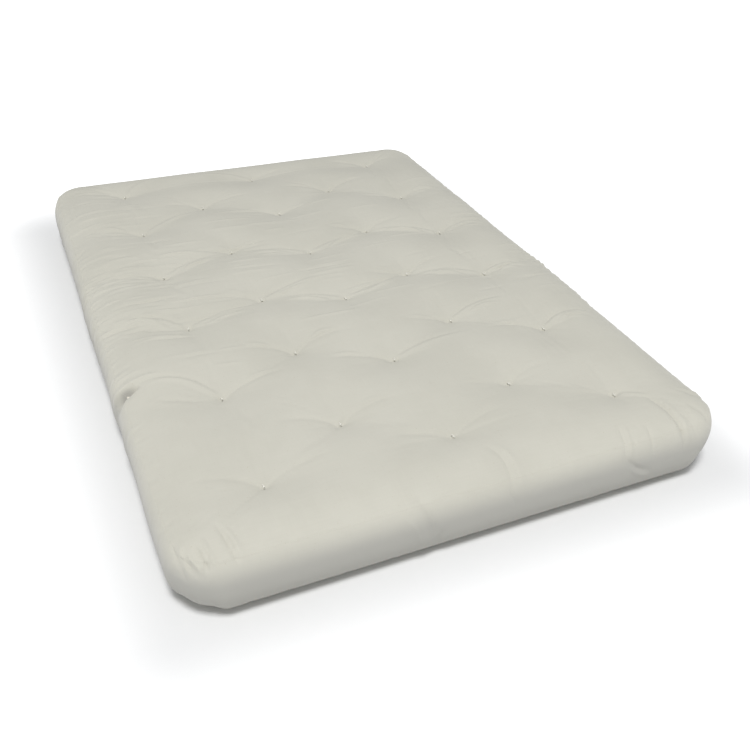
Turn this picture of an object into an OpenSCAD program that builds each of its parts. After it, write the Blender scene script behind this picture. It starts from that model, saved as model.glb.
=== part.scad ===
// Tufted futon mattress: a sewn cotton cover over cotton batts and two foam sheets, held together by
// twine tufts that go right through. It folds about its long middle line, from a bed into a sofa, so
// every layer is drawn as a seat half and a back half. Millimetres, +Z up, the foot end at -Y and the
// origin at the middle of the underside.

/* [Mattress] */
// Width across the mattress, at the fullest part of the border
mattress_w = 1372; // [1000:1:1560]
// Length from the foot to the head
mattress_l = 1905; // [1700:1:2100]
// Radius of the corners, seen from above
corner_r = 100; // [70:1:140]
// How much higher the middle of the top stands than its outermost pillows
crown = 12; // [2:1:14]
// Width of the stretch over which the top rolls down to its seam
top_roll = 110; // [80:1:150]
// Width of the stretch over which the underside rolls up to its seam
base_roll = 46; // [30:1:80]

/* [Cover] */
// Thickness of the cotton cloth
cloth = 1.2; // [0.8:0.1:2]
// How far the middle of the border bulges past its two seams
border_bulge = 12; // [4:1:18]
// Width of a line of stitching, measured up the border
seam_w = 1.2; // [0.8:0.1:2]
// Drop from the top of the lowest batt to the bottom seam
base_seam_drop = 3; // [2:0.5:8]
// Rise from the underside of the top batt to the top seam
top_seam_rise = 11; // [6:0.5:16]

/* [Filling] */
// Thickness of each of the two lower cotton batts
lower_batt = 23.4; // [20:0.1:30]
// Thickness of each foam sheet
foam_sheet = 25.4; // [12:0.1:50]
// Thickness of each cotton batt between the foam sheets
core_batt = 18; // [10:0.1:40]
// Thickness of the cotton batt on the upper foam sheet
upper_batt = 22.4; // [10:0.1:40]
// Thickness of the top batt where it stands fullest
top_batt = 45.8; // [44:0.1:60]

/* [Tufts] */
// Depth of a tuft's dimple in the top
dimple = 34; // [10:1:36]
// Reach of a dimple across the mattress
dimple_reach_x = 105; // [60:1:150]
// Reach of a dimple along the mattress
dimple_reach_y = 62; // [40:1:100]
// Depth of a tuft's pit in the underside
pit = 12; // [8:0.5:16]
// Radius of that pit at the underside
pit_r = 34; // [20:1:50]
// Diameter of the doubled twine
twine_d = 4; // [2:0.1:6]
// Gap round the twine in its needle holes, and under its knot and its stitch
twine_gap = 0.4; // [0.2:0.1:1]
// Radius of a knot
knot_r = 3.6; // [2.5:0.1:5]
// Length of the two cut ends, from the middle of the knot
twine_tail = 12; // [8:1:20]
// Length of the stitch that holds the twine under the mattress
stitch_l = 9; // [7:0.5:12]

/* [Fold] */
// Gap between the seat half and the back half
fold_gap = 0.5; // [0.3:0.1:2]

/* [Hidden] */
cloth_colour = "#e9e3d6";
thread_colour = "#d8d0bf";
cotton_colour = "#f3efe6";
foam_colour = "#ece2b4";
twine_colour = "#f6f1e4";

half_w = mattress_w / 2;
half_l = mattress_l / 2;
cut_x = fold_gap / 2;

// heights of the boundaries between the layers, from the underside of the lowest batt
stack = [lower_batt, lower_batt, foam_sheet, core_batt, core_batt, foam_sheet, upper_batt];
flat_layers = len(stack);
layer_z = [for (k = [0:flat_layers]) cloth + sum_to(stack, k)];
top_batt_z = layer_z[flat_layers];
mattress_h = top_batt_z + top_batt + cloth;
lowest_name = "batt_1";
flat_names = ["batt_2", "foam_lower", "batt_3", "batt_4", "foam_upper", "batt_5"];
top_name = "batt_6";

// the two seams, each a line of stitching between a panel and the border
base_rim = layer_z[1] - base_seam_drop - seam_w;
border_foot = base_rim + seam_w;
border_head = top_batt_z + top_seam_rise;
top_rim = border_head + seam_w;
border_levels = [border_foot, for (k = [1:flat_layers]) layer_z[k], border_head];

// Tufts sit in columns at sixths of the width, and in rows at these shares of the length. Rows of
// three and rows of two take turns, laid by hand, so a row of two sits nearer to the row before it.
column_pitch = mattress_w / 6;
rows_of_three = [0.091, 0.262, 0.436, 0.592, 0.748, 0.912];
rows_of_two = [0.160, 0.325, 0.474, 0.636, 0.817];
row_count = len(rows_of_three) + len(rows_of_two);
tufts = [
    for (r = [0:row_count - 1]) let (columns = r % 2 == 0 ? [-2, 0, 2] : [-1, 1])
        for (c = [0:len(columns) - 1]) [columns[c] * column_pitch, row_y(r), str("tuft_", r + 1, "_", c + 1)]
];
dimple_half = 26;       // half width of the facets at the foot of a dimple
pit_floor_r = 8;        // radius of a pit's flat middle
stitch_w = 4.4;         // width and depth of the stitch under a pit
stitch_h = 2.2;
tail_d = 2;             // thickness of a cut end
tail_lean = 56;         // how far a cut end leans from upright, in degrees

sides = ["seat", "back"];
cover_names = ["top_panel", "top_seam", "border", "bottom_seam", "bottom_panel"];
half_names = concat([lowest_name], flat_names, [top_name], cover_names);

function sum_to(list, n, i = 0) = i >= n ? 0 : list[i] + sum_to(list, n, i + 1);
function reverse(list) = [for (k = [len(list) - 1:-1:0]) list[k]];
function sign_of(side) = side == "seat" ? -1 : 1;
function row_y(r) = mattress_l * ((r % 2 == 0 ? rows_of_three : rows_of_two)[floor(r / 2)] - 0.5);

// how far the cover lies inside the fullest outline, at a height on the border
function border_inset(z) =
    let (middle = (border_foot + border_head) / 2)
        border_bulge * pow((z - middle) / (border_head - middle), 2);

// ---- outlines: one half seen from above, from the fold at the foot, round its corners, to the head
round_steps = 3;        // facets in half a corner
corner_degrees = [for (k = [0:2 * round_steps]) 45 * k / round_steps];

function outline(s, inset, fold_x = cut_x) =
    let (r = corner_r - inset, cx = half_w - corner_r, cy = half_l - corner_r) [
        [s * fold_x, inset - half_l],
        for (a = corner_degrees) [s * (cx + r * sin(a)), -cy - r * cos(a)],
        for (a = corner_degrees) [s * (cx + r * cos(a)), cy + r * sin(a)],
        [s * fold_x, half_l - inset]
    ];

// two triangles of a quad, and the belt of them between two loops given as lists of point numbers
function two_triangles(q, s) = s > 0 ? [[q[0], q[2], q[1]], [q[0], q[3], q[2]]] : [[q[0], q[1], q[2]], [q[0], q[2], q[3]]];
function belt(low, high, s) = [
    for (k = [0:len(low) - 1]) let (n = (k + 1) % len(low)) each two_triangles([low[k], low[n], high[n], high[k]], s)
];
function numbers(first, n) = [for (k = [0:n - 1]) first + k];

// a solid that follows the outline through a list of [height, inset] steps, flat below and above
module stacked(s, steps, fold_x = cut_x) {
    loops = [for (step = steps) [for (p = outline(s, step[1], fold_x)) [p.x, p.y, step[0]]]];
    n = len(loops[0]);
    last = len(loops) - 1;
    polyhedron(
        [for (l = loops) each l],
        concat(
            [s > 0 ? numbers(0, n) : reverse(numbers(0, n))],
            [for (k = [1:last]) each belt(numbers(n * (k - 1), n), numbers(n * k, n), s)],
            [s > 0 ? reverse(numbers(n * last, n)) : numbers(n * last, n)]
        )
    );
}

// a band of cloth round the outline through these heights, one thickness deep
module band(s, levels) {
    loops = [
        for (z = levels)
            let (outer = outline(s, border_inset(z)), inner = outline(s, border_inset(z) + cloth))
                [for (p = concat(outer, reverse(inner))) [p.x, p.y, z]]
    ];
    n = len(loops[0]);
    last = n * (len(levels) - 1);
    cap = [for (k = [0:n / 2 - 2]) [k, k + 1, n - 2 - k, n - 1 - k]];
    polyhedron(
        [for (l = loops) each l],
        concat(
            [for (q = cap) each two_triangles(q, -s)],
            [for (k = [1:len(levels) - 1]) each belt(numbers(n * (k - 1), n), numbers(n * k, n), s)],
            [for (q = cap) each two_triangles([for (v = q) v + last], s)]
        )
    );
}

// ---- the tufted top: a grid over one half, whose lines run through the tufts. Its outermost lines
// bunch in a band as wide as the corner radius, where they also make the facets of the round corners.
function edge_band(half) = [for (k = [0:round_steps]) half - corner_r + (corner_r - border_bulge) * k / round_steps];
grid_x = [
    cut_x, dimple_half,
    for (c = [1:2]) each [
        (c - 0.5) * column_pitch, c * column_pitch - dimple_half, c * column_pitch, c * column_pitch + dimple_half
    ],
    each edge_band(half_w)
];
grid_y = [
    each reverse([for (y = edge_band(half_l)) -y]),
    for (r = [0:row_count - 1]) each [row_y(r) - dimple_half, row_y(r), row_y(r) + dimple_half],
    each edge_band(half_l)
];
columns_n = len(grid_x);
rows_n = len(grid_y);

// A grid point seen from above. The rim is drawn in to the inset, and square corners are bent round.
function plan(x, y, inset) =
    let (
        band_w = corner_r - border_bulge,
        a0 = max(abs(x) - half_w + corner_r, 0),
        b0 = max(abs(y) - half_l + corner_r, 0),
        squeeze = max(a0, b0) > band_w - 0.001 ? (corner_r - inset) / band_w : 1,
        a = a0 * squeeze,
        b = b0 * squeeze,
        turn = a >= b ? 45 * b / max(a, 0.001) : 90 - 45 * a / b,
        bent = a > 0 && b > 0 ? max(a, b) * [cos(turn), sin(turn)] : [a, b]
    ) [
        sign(x) * (min(abs(x), half_w - corner_r) + bent.x),
        sign(y) * (min(abs(y), half_l - corner_r) + bent.y)
    ];

// how far the tufts draw the top down at a grid point, from 0 to 1
function drawn_down(x, y) =
    max([for (t = tufts) exp(-norm([(x - t.x) / dimple_reach_x, (y - t.y) / dimple_reach_y]))]);

// height of the top over a grid point: a roll up from the rim, a low dome, and the dimples
function top_z(x, y) =
    let (
        x0 = abs(x) <= cut_x ? 0 : x,
        in_from_rim = min(half_w - abs(x), half_l - abs(y)) - border_bulge,
        roll = 1 - pow(1 - min(max(in_from_rim / (top_roll - border_bulge), 0), 1), 2.2),
        dome = (1 - pow(x0 / half_w, 2)) * (1 - pow(y / half_l, 4)),
        full = mattress_h - crown * (1 - dome) - dimple * drawn_down(x0, y)
    ) (top_rim + cloth) * (1 - roll) + full * roll;

function grid_points(s, inset, drop) = [
    for (y = grid_y) for (x = grid_x) let (p = plan(s * x, y, inset)) [p.x, p.y, top_z(s * x, y) - drop]
];
function grid_faces(first, s) = [
    for (j = [0:rows_n - 2]) for (i = [0:columns_n - 2])
        let (k = first + j * columns_n + i) each two_triangles([k, k + 1, k + columns_n + 1, k + columns_n], s)
];

// numbers of the grid's rim points, along the foot, round the side, back along the head and the fold
rim = [
    for (i = [0:columns_n - 1]) i,
    for (j = [1:rows_n - 1]) j * columns_n + columns_n - 1,
    for (i = [columns_n - 2:-1:0]) (rows_n - 1) * columns_n + i,
    for (j = [rows_n - 2:-1:1]) j * columns_n
];
function rim_loop(s, inset, height) = [
    for (k = rim)
        let (x = s * grid_x[k % columns_n], y = grid_y[floor(k / columns_n)], p = plan(x, y, inset))
            [p.x, p.y, height(x, y)]
];

// ---- needle holes and pits, for the tufts that reach this half
function tufts_of(s) = [for (t = tufts) if (s * t.x > -pit_r) t];

module needle_holes(s) {
    for (t = tufts_of(s))
        translate([t.x, t.y, -1])
            rotate(22.5)
                cylinder(r = (twine_d / 2 + twine_gap) / cos(22.5), h = mattress_h + 2, $fn = 8);
}

// cones that the tufts draw up in the underside, with their flat middles at the depth of a pit plus rise
module pits(s, rise) {
    overrun = cloth / 2;
    for (t = tufts_of(s))
        translate([t.x, t.y, rise - overrun])
            cylinder(r1 = pit_r + overrun * (pit_r - pit_floor_r) / pit, r2 = pit_floor_r, h = pit + overrun, $fn = 8);
}

// ---- filling
function base_curve(depth) = [
    for (t = [0, 0.4, 0.7, 1]) [depth + (base_rim - depth) * pow(t, 2.2), border_bulge + depth + (1 - t) * base_roll]
];

module lowest_batt(s) {
    color(cotton_colour) difference() {
        stacked(s, concat(
            base_curve(cloth),
            [[border_foot, border_bulge + cloth], [layer_z[1], border_inset(layer_z[1]) + cloth]]
        ));
        pits(s, cloth);
        needle_holes(s);
    }
}

module flat_layer(s, k, colour) {
    color(colour) difference() {
        stacked(s, [for (z = [layer_z[k], layer_z[k + 1]]) [z, border_inset(z) + cloth]]);
        needle_holes(s);
    }
}

// The top batt's wall bends inwards where the border ends; along the fold it stays under the dimples.
function shoulder_z(x, y) =
    abs(x) > cut_x || abs(y) > half_l - border_bulge - 0.001
        ? border_head
        : min(border_head, (top_z(x, y) - cloth + top_batt_z) / 2);

module top_batt(s) {
    top = grid_points(s, border_bulge + cloth, cloth);
    shoulder = rim_loop(s, border_bulge + cloth, function (x, y) shoulder_z(x, y));
    foot = rim_loop(s, border_inset(top_batt_z) + cloth, function (x, y) top_batt_z);
    n = len(rim);
    shoulder_numbers = numbers(len(top), n);
    foot_numbers = numbers(len(top) + n, n);
    // the underside in strips across the half, with the rim points of both ends in one face each
    foot_end = [n - 1, each numbers(0, columns_n + 1)];
    head_end = [n - rows_n + 2, each numbers(columns_n + rows_n - 3, columns_n + 1)];
    strips = [for (j = [1:rows_n - 3]) [n - j, columns_n - 1 + j, columns_n + j, n - j - 1]];
    underside = [for (f = concat([foot_end, head_end], strips)) [for (k = f) foot_numbers[k]]];
    color(cotton_colour) difference() {
        polyhedron(
            concat(top, shoulder, foot),
            concat(
                grid_faces(0, -s),
                belt(shoulder_numbers, rim, s),
                belt(foot_numbers, shoulder_numbers, s),
                [for (f = underside) s > 0 ? f : [f[0], each reverse([for (k = [1:len(f) - 1]) f[k]])]]
            )
        );
        needle_holes(s);
    }
}

// ---- cover
module top_panel(s) {
    over = grid_points(s, border_bulge, 0);
    under = grid_points(s, border_bulge, cloth);
    color(cloth_colour) difference() {
        polyhedron(
            concat(over, under),
            concat(
                grid_faces(0, -s),
                grid_faces(len(over), s),
                belt([for (k = rim) k + len(over)], rim, s)
            )
        );
        needle_holes(s);
    }
}

module border(s) {
    color(cloth_colour) band(s, border_levels);
}

module bottom_panel(s) {
    color(cloth_colour) difference() {
        union() {
            difference() {
                stacked(s, base_curve(0));
                stacked(s, concat(base_curve(cloth), [[base_rim + 1, border_bulge + cloth]]), -1);
            }
            intersection() {
                pits(s, cloth);
                stacked(s, [[cloth / 4, base_roll], [pit + 2 * cloth, base_roll]]);
            }
        }
        pits(s, 0);
        needle_holes(s);
    }
}

module top_seam(s) {
    color(thread_colour) band_ring(s, border_head);
}

module bottom_seam(s) {
    color(thread_colour) band_ring(s, base_rim);
}

// a line of stitching, as deep as the cloth, standing on a height at the border's edge
module band_ring(s, z) {
    outer = outline(s, border_bulge);
    inner = reverse(outline(s, border_bulge + cloth));
    translate([0, 0, z]) linear_extrude(seam_w) polygon(concat(outer, inner));
}

// ---- tufts: doubled twine, knotted in the dimple and held by a short stitch in the pit
slope_x = dimple * (1 - exp(-dimple_half / dimple_reach_x)) / dimple_half;
slope_y = dimple * (1 - exp(-dimple_half / dimple_reach_y)) / dimple_half;
knot_rise = (knot_r + twine_gap) * norm([1, slope_x, slope_y]);

module tuft(t) {
    stitch_z = pit - twine_gap - stitch_h;
    knot_z = top_z(t.x, t.y) + knot_rise;
    color(twine_colour) translate([t.x, t.y, 0]) {
        translate([0, 0, stitch_z]) rotate(22.5) cylinder(d = twine_d, h = knot_z - stitch_z, $fn = 8);
        translate([0, 0, stitch_z]) linear_extrude(stitch_h) hull() {
            for (y = [-1, 1]) translate([0, y * (stitch_l - stitch_w) / 2]) circle(d = stitch_w, $fn = 8);
        }
        translate([0, 0, knot_z]) {
            sphere(r = knot_r, $fn = 8);
            for (lean = [-tail_lean, tail_lean]) rotate([lean, 0, 0]) cylinder(d = tail_d, h = twine_tail, $fn = 6);
        }
    }
}

for (side = sides) {
    s = sign_of(side);
    lowest_batt(s);
    for (k = [1:flat_layers - 1]) {
        name = flat_names[k - 1];
        flat_layer(s, k, name[0] == "f" ? foam_colour : cotton_colour);
    }
    top_batt(s);
    top_panel(s);
    top_seam(s);
    border(s);
    bottom_seam(s);
    bottom_panel(s);
}
for (t = tufts) tuft(t);
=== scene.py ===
import bpy
import math
import random
import numpy as np
from mathutils import Matrix, Vector


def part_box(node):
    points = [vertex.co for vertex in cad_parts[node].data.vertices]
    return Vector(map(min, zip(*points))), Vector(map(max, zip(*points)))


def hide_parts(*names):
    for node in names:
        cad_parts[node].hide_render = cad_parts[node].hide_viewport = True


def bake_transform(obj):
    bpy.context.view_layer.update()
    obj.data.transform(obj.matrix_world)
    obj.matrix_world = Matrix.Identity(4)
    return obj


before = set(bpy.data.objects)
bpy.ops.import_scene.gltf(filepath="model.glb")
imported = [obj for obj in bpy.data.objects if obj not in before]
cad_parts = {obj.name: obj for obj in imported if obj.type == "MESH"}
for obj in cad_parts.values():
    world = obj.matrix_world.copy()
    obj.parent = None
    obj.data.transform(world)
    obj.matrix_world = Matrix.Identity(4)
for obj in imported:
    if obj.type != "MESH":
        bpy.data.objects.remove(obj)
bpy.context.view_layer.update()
print("frame loaded")

# metres throughout: +Y runs from the foot to the head, the fold line lies along it at x = 0
mattress = {
    "width": 1.372,
    "length": 1.905,
    "loft": 0.2042,          # full height between the tufts, before the crown falls away
    "crown": 0.012,
    "cornerRadius": 0.100,
    "topRoll": 0.110,
    "rollPower": 2.4,        # how round the top is where it rolls over its edge
    "rollEase": 0.85,
    "baseRoll": 0.046,
    "basePower": 2.2,
    "borderBulge": 0.012,
    "borderFull": 0.005,     # the filling pushes the middle of the border out that much further
    "borderPower": 2.6,
    "seamSag": 0.007,        # the top rolls over the edge and takes its seam down a little
    "clothThickness": 0.0012,
    "dimple": 0.024,
    "dimpleReachX": 0.105,
    "dimpleReachY": 0.062,
    "valley": (0.005, 0.009, 0.016, 0.015, 0.012, 0.009),   # how far each zigzag of tufts sinks the cloth
    "valleyReach": 0.060,
    "valleyRise": 0.050,     # how far towards the head a zigzag runs on to the sides
    "gridX": 0.012,          # spacing of the simulated cloth
    "gridY": 0.009,
    "tuckUnder": 0.001,      # how far the foot of the border turns in under the mattress
    "tuckHeight": 0.050,
    "cornerTuck": 0.016,
}
halfW = mattress["width"] / 2
halfL = mattress["length"] / 2
bulge = mattress["borderBulge"]
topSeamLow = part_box("seat_top_seam")[0][2] - mattress["seamSag"]
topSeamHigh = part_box("seat_top_seam")[1][2] - mattress["seamSag"]
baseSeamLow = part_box("seat_bottom_seam")[0][2]
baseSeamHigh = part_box("seat_bottom_seam")[1][2]

# the tufts, row by row from the foot, at the places of their twines in the frame
tufts = {}
for row in range(1, 12):
    for column in range(1, 4 if row % 2 else 3):
        low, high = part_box(f"tuft_{row}_{column}")
        tufts[row, column] = ((low[0] + high[0]) / 2, (low[1] + high[1]) / 2)
tuftXY = np.array(list(tufts.values()))
# one zigzag of creases joins each row of three with the row of two beyond it
zigzags = []
for row in range(1, 12, 2):
    points = [tufts[row, c] for c in (1, 2, 3)] + [tufts[row + 1, c] for c in (1, 2) if row < 11]
    points.sort()
    first, last = points[0], points[-1]
    rise = mattress["valleyRise"]
    zigzags.append(np.array([(-halfW, first[1] + rise)] + points + [(halfW, last[1] + rise)]))


def newObject(name, data):
    made = bpy.data.objects.new(name, data)
    bpy.context.collection.objects.link(made)
    return made


def axisLines(half, marks, step):
    # even grid lines that run through every mark
    stops = sorted({-(half - bulge), half - bulge, *marks})
    lines = [stops[0]]
    for a, b in zip(stops, stops[1:]):
        count = max(1, round((b - a) / step))
        lines += list(np.linspace(a, b, count + 1)[1:])
    return np.array(lines)


def bentPlan(x, y):
    # square grid corners bent round, seen from above
    radius = mattress["cornerRadius"]
    a = np.maximum(np.abs(x) - halfW + radius, 0)
    b = np.maximum(np.abs(y) - halfL + radius, 0)
    reach = np.maximum(a, b)
    eighth, tiny = math.pi / 4, 1e-9
    turn = np.where(a >= b, eighth * b / np.maximum(a, tiny), 2 * eighth - eighth * a / np.maximum(b, tiny))
    both = (a > 0) & (b > 0)
    a = np.where(both, reach * np.cos(turn), a)
    b = np.where(both, reach * np.sin(turn), b)
    return (np.sign(x) * (np.minimum(np.abs(x), halfW - radius) + a),
            np.sign(y) * (np.minimum(np.abs(y), halfL - radius) + b))


def rimNormals(x, y):
    # the outward direction at points of the rim, and the middle of the corner each belongs to
    radius = mattress["cornerRadius"]
    cx = np.clip(x, radius - halfW, halfW - radius)
    cy = np.clip(y, radius - halfL, halfL - radius)
    size = np.hypot(x - cx, y - cy)
    return cx, cy, (x - cx) / size, (y - cy) / size


def roundTufts(x, y, reachX, reachY, power):
    # 1 at every tuft, falling away round it
    pull = np.zeros_like(x)
    for tx, ty in tuftXY:
        away = np.hypot((x - tx) / reachX, (y - ty) / reachY)
        pull = np.maximum(pull, np.exp(-away ** power))
    return pull


def awayFromLine(x, y, points):
    # the distance to a line through several points
    best = np.full_like(x, np.inf)
    for (ax, ay), (bx, by) in zip(points, points[1:]):
        ex, ey = bx - ax, by - ay
        t = np.clip(((x - ax) * ex + (y - ay) * ey) / (ex * ex + ey * ey), 0, 1)
        best = np.minimum(best, np.hypot(x - ax - t * ex, y - ay - t * ey))
    return best


def topHeight(x, y, dimples=1.0):
    # the top before it is simulated: rolled over at the rim, domed, sunk at tufts and along their zigzags
    inFromRim = np.minimum(halfW - np.abs(x), halfL - np.abs(y)) - bulge
    roll = 1 - np.clip(inFromRim / (mattress["topRoll"] - bulge), 0, 1)
    roll = (1 - roll ** mattress["rollPower"]) ** mattress["rollEase"]
    dome = (1 - (x / halfW) ** 2) * (1 - (y / halfL) ** 4)
    pull = roundTufts(x, y, mattress["dimpleReachX"], mattress["dimpleReachY"], 1)
    sunk = np.zeros_like(x)
    for depth, points in zip(mattress["valley"], zigzags):
        away = awayFromLine(x, y, points) / mattress["valleyReach"]
        sunk = np.maximum(sunk, depth * np.exp(-away ** 2))
    full = mattress["loft"] - mattress["crown"] * (1 - dome)
    full = full - dimples * (mattress["dimple"] * pull + sunk * (1 - pull))
    rim = topSeamHigh + mattress["clothThickness"]
    return rim * (1 - roll) + full * roll


def borderInset(z):
    # how far inside the fullest outline the border lies at a height
    middle = (baseSeamHigh + topSeamLow) / 2
    curve = abs((z - middle) / (topSeamLow - middle)) ** mattress["borderPower"]
    return (bulge + mattress["borderFull"]) * curve - mattress["borderFull"]


def rimOf(grid):
    # once round the outside of a grid of numbers
    return np.concatenate([grid[0, :], grid[1:, -1], grid[-1, -2::-1], grid[-2:0:-1, 0]])


def gridFaces(countY, countX, first=0, flip=False):
    a = (first + np.arange(countY * countX).reshape(countY, countX))[:-1, :-1].ravel()
    quads = np.stack([a, a + 1, a + countX + 1, a + countX], 1)
    return quads[:, ::-1] if flip else quads


# the cover is simulated once as one sheet: the top, then the border hanging from its rim
gridX = axisLines(halfW, set(np.round(tuftXY[:, 0], 6)), mattress["gridX"])
gridY = axisLines(halfL, set(np.round(tuftXY[:, 1], 6)), mattress["gridY"])
columns, rows = len(gridX), len(gridY)
squareX, squareY = np.meshgrid(gridX, gridY)
planX, planY = bentPlan(squareX, squareY)
number = np.arange(columns * rows).reshape(rows, columns)
rim = rimOf(number)
rimX, rimY = planX.ravel()[rim], planY.ravel()[rim]
borderSteps = 12
borderZ = np.linspace(topSeamLow, baseSeamHigh, borderSteps + 1)

simulation = {
    "frames": 14,
    "quality": 5,
    "pressure": 6.0,
    "stretchX": 0.010,       # how much wider and longer the cover is cut than its filling
    "stretchY": 0.050,
    "topHold": 0.020,        # how firmly the filling holds the top and the border
    "borderHold": 0.300,
    "borderCutX": 1.01,      # how much longer the border is cut than its place
    "borderCutY": 1.02,
    "mass": 0.02,
    "stretch": 40,           # stiffness of the cloth
    "shear": 8,
    "bend": 0.1,
    "pin": 50,
    "airDamping": 2,
    "cap": 0.020,            # the furthest a point may move
}


def simulateCover():
    # the points of the sheet: first the top, row by row, then one ring of the border after another
    top = np.stack([planX, planY, topHeight(squareX, squareY)], -1)
    smooth = topHeight(squareX, squareY, dimples=0.0)
    cut = np.stack([planX * (1 + simulation["stretchX"]), planY * (1 + simulation["stretchY"]), smooth], -1)
    rings, cutRings = [], []
    cornerX, cornerY, nx, ny = rimNormals(rimX, rimY)
    for z in borderZ:
        reach = mattress["cornerRadius"] - borderInset(z)
        x, y = cornerX + nx * reach, cornerY + ny * reach
        level = np.full_like(x, z)
        rings.append(np.stack([x, y, level], -1))
        cutRings.append(np.stack([x * simulation["borderCutX"], y * simulation["borderCutY"], level], -1))
    points = np.vstack([top.reshape(-1, 3), *rings])
    cutPoints = np.vstack([cut.reshape(-1, 3), *cutRings])
    faces = [gridFaces(rows, columns)]
    above, first = rim, columns * rows
    for _ in rings:
        ringNumbers = np.arange(first, first + len(rim))
        faces.append(np.stack([above, ringNumbers, np.roll(ringNumbers, -1), np.roll(above, -1)], 1))
        above, first = ringNumbers, first + len(rim)
    mesh = bpy.data.meshes.new("coverCloth")
    mesh.from_pydata(points.tolist(), [], np.vstack(faces).tolist())
    cloth = newObject("coverCloth", mesh)
    hold = cloth.vertex_groups.new(name="hold")
    tied = [int(number[np.argmin(abs(gridY - ty)), np.argmin(abs(gridX - tx))]) for tx, ty in tuftXY]
    border = range(columns * rows, len(points) - 2 * len(rim))
    foot = range(len(points) - 2 * len(rim), len(points))
    free = sorted(set(range(columns * rows)) - set(tied))
    hold.add(free, simulation["topHold"], "REPLACE")
    hold.add(list(border), simulation["borderHold"], "REPLACE")
    hold.add(tied + list(foot), 1.0, "REPLACE")
    cloth.shape_key_add(name="Basis")
    cutShape = cloth.shape_key_add(name="cut")
    cutShape.data.foreach_set("co", cutPoints.ravel())
    modifier = cloth.modifiers.new("cloth", "CLOTH")
    settings = modifier.settings
    settings.quality = simulation["quality"]
    settings.mass = simulation["mass"]
    settings.tension_stiffness = settings.compression_stiffness = simulation["stretch"]
    settings.shear_stiffness = simulation["shear"]
    settings.bending_stiffness = simulation["bend"]
    settings.air_damping = simulation["airDamping"]
    settings.vertex_group_mass = "hold"
    settings.pin_stiffness = simulation["pin"]
    settings.use_pressure = True
    settings.uniform_pressure_force = simulation["pressure"]
    settings.effector_weights.gravity = 0
    settings.rest_shape_key = cutShape
    modifier.collision_settings.use_collision = False
    scene = bpy.context.scene
    modifier.point_cache.frame_start = 1
    modifier.point_cache.frame_end = simulation["frames"]
    for step in range(1, simulation["frames"] + 1):
        scene.frame_set(step)
    evaluated = cloth.evaluated_get(bpy.context.evaluated_depsgraph_get())
    moved = np.empty(len(points) * 3)
    evaluated.data.vertices.foreach_get("co", moved)
    shift = moved.reshape(-1, 3) - points
    size = np.linalg.norm(shift, axis=1)
    shift *= (np.minimum(size, simulation["cap"]) / np.maximum(size, 1e-9))[:, None]
    bpy.data.objects.remove(cloth)
    bpy.data.meshes.remove(mesh)
    scene.frame_set(1)
    print("cover simulated, largest move", round(float(size.max()), 4))
    return points + shift


def resample(values, places, axis, closed=False):
    # smooth curves through a grid of points, read at other places along one of its directions
    values = np.moveaxis(values, axis, 0)
    count = len(values)
    start = np.floor(places).astype(int)
    if not closed:
        start = np.clip(start, 0, count - 2)
    t = (places - start).reshape(-1, *[1] * (values.ndim - 1))
    around = [start - 1, start, start + 1, start + 2]
    around = [k % count if closed else np.clip(k, 0, count - 1) for k in around]
    a, b, c, d = (values[k] for k in around)
    if not closed:
        first = (start == 0).reshape(t.shape)
        last = (start == count - 2).reshape(t.shape)
        a = np.where(first, 2 * b - c, a)
        d = np.where(last, 2 * c - b, d)
    mixed = 2 * b + (c - a) * t + (2 * a - 5 * b + 4 * c - d) * t ** 2 + (3 * b - a - 3 * c + d) * t ** 3
    return np.ascontiguousarray(np.moveaxis(0.5 * mixed, 0, axis))


def finePlaces(lines, plain, fine, bands, edge):
    # finer places along a grid direction: the finest in the bands, and bunched up next to a seam
    places = [0.0]
    for k in range(len(lines) - 1):
        middle = (lines[k] + lines[k + 1]) / 2
        parts = fine if any(low < middle < high for low, high in bands) else plain
        places += [k + (j + 1) / parts for j in range(parts)]
    return np.unique(np.round(places + list(edge) + [len(lines) - 1 - e for e in edge], 4))


cover = simulateCover()

# every wrinkle is a stroke across the cut cloth, laid flat, from one end to the other
relief = {
    "seed": 5,
    "strength": (0.55, 0.6, 0.8, 0.8, 1.0, 0.9, 0.9, 0.8, 0.8, 0.7, 0.7),    # of the wings, row by row
    "wingLength": (0.13, 0.20),      # of the plain wings, then their rise and bow as shares of it
    "wingRise": (0.10, 0.30),
    "wingBow": (0.06, 0.14),
    "creaseDepth": 0.0066,
    "creaseWidth": 0.0072,
    "creaseRound": 0.18,     # how blunt the bottom of a crease is, a share of its width
    "foldHeight": 0.0022,
    "foldWidth": 0.0086,
    "foldTrough": (1.35, 0.9, 0.8),  # behind a fold, as shares of it: how far, how deep, how wide
    "gatherHeight": 0.0026,
    "gatherWidth": 0.0058,
    "gatherFrom": 0.22,      # where along a wing its gathers begin, and where the first of them ends
    "gatherTo": 0.85,
    "gatherBeside": (0.010, 0.012),  # how far the first gather ends from a crease, and the next from it
    "gatherBefore": (-0.016, -0.013),        # the same for a fold, where they lie on its foot side
    "pullLength": (0.018, 0.040),    # short pulls round each knot
    "pullDepth": 0.0016,
    "pullWidth": 0.0045,
    "fineHeight": 0.0016,
    "fineWidth": 0.0050,
    "pleatDepth": 1.1,       # how deep and how wide the pleats are, against what their list says
    "pleatWidth": 0.62,
    "seamGroove": 0.0002,
    "grooveWidth": 0.0035,
    "puckerHeight": 0.0009,
    "puckerWidth": 0.0048,
}
strokes = []
chance = random.Random(relief["seed"])


def metres(lengths):
    return [length / 1000 for length in lengths]


def addStroke(start, end, height, width, bow, fadeIn, fadeOut, sharp=False):
    # height is negative for a crease and positive for a gather; bow is how far its middle leans
    # towards the head, or towards the right side for a stroke along the mattress
    strokes.append((start, end, height, width, bow, fadeIn, fadeOut, sharp))


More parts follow.
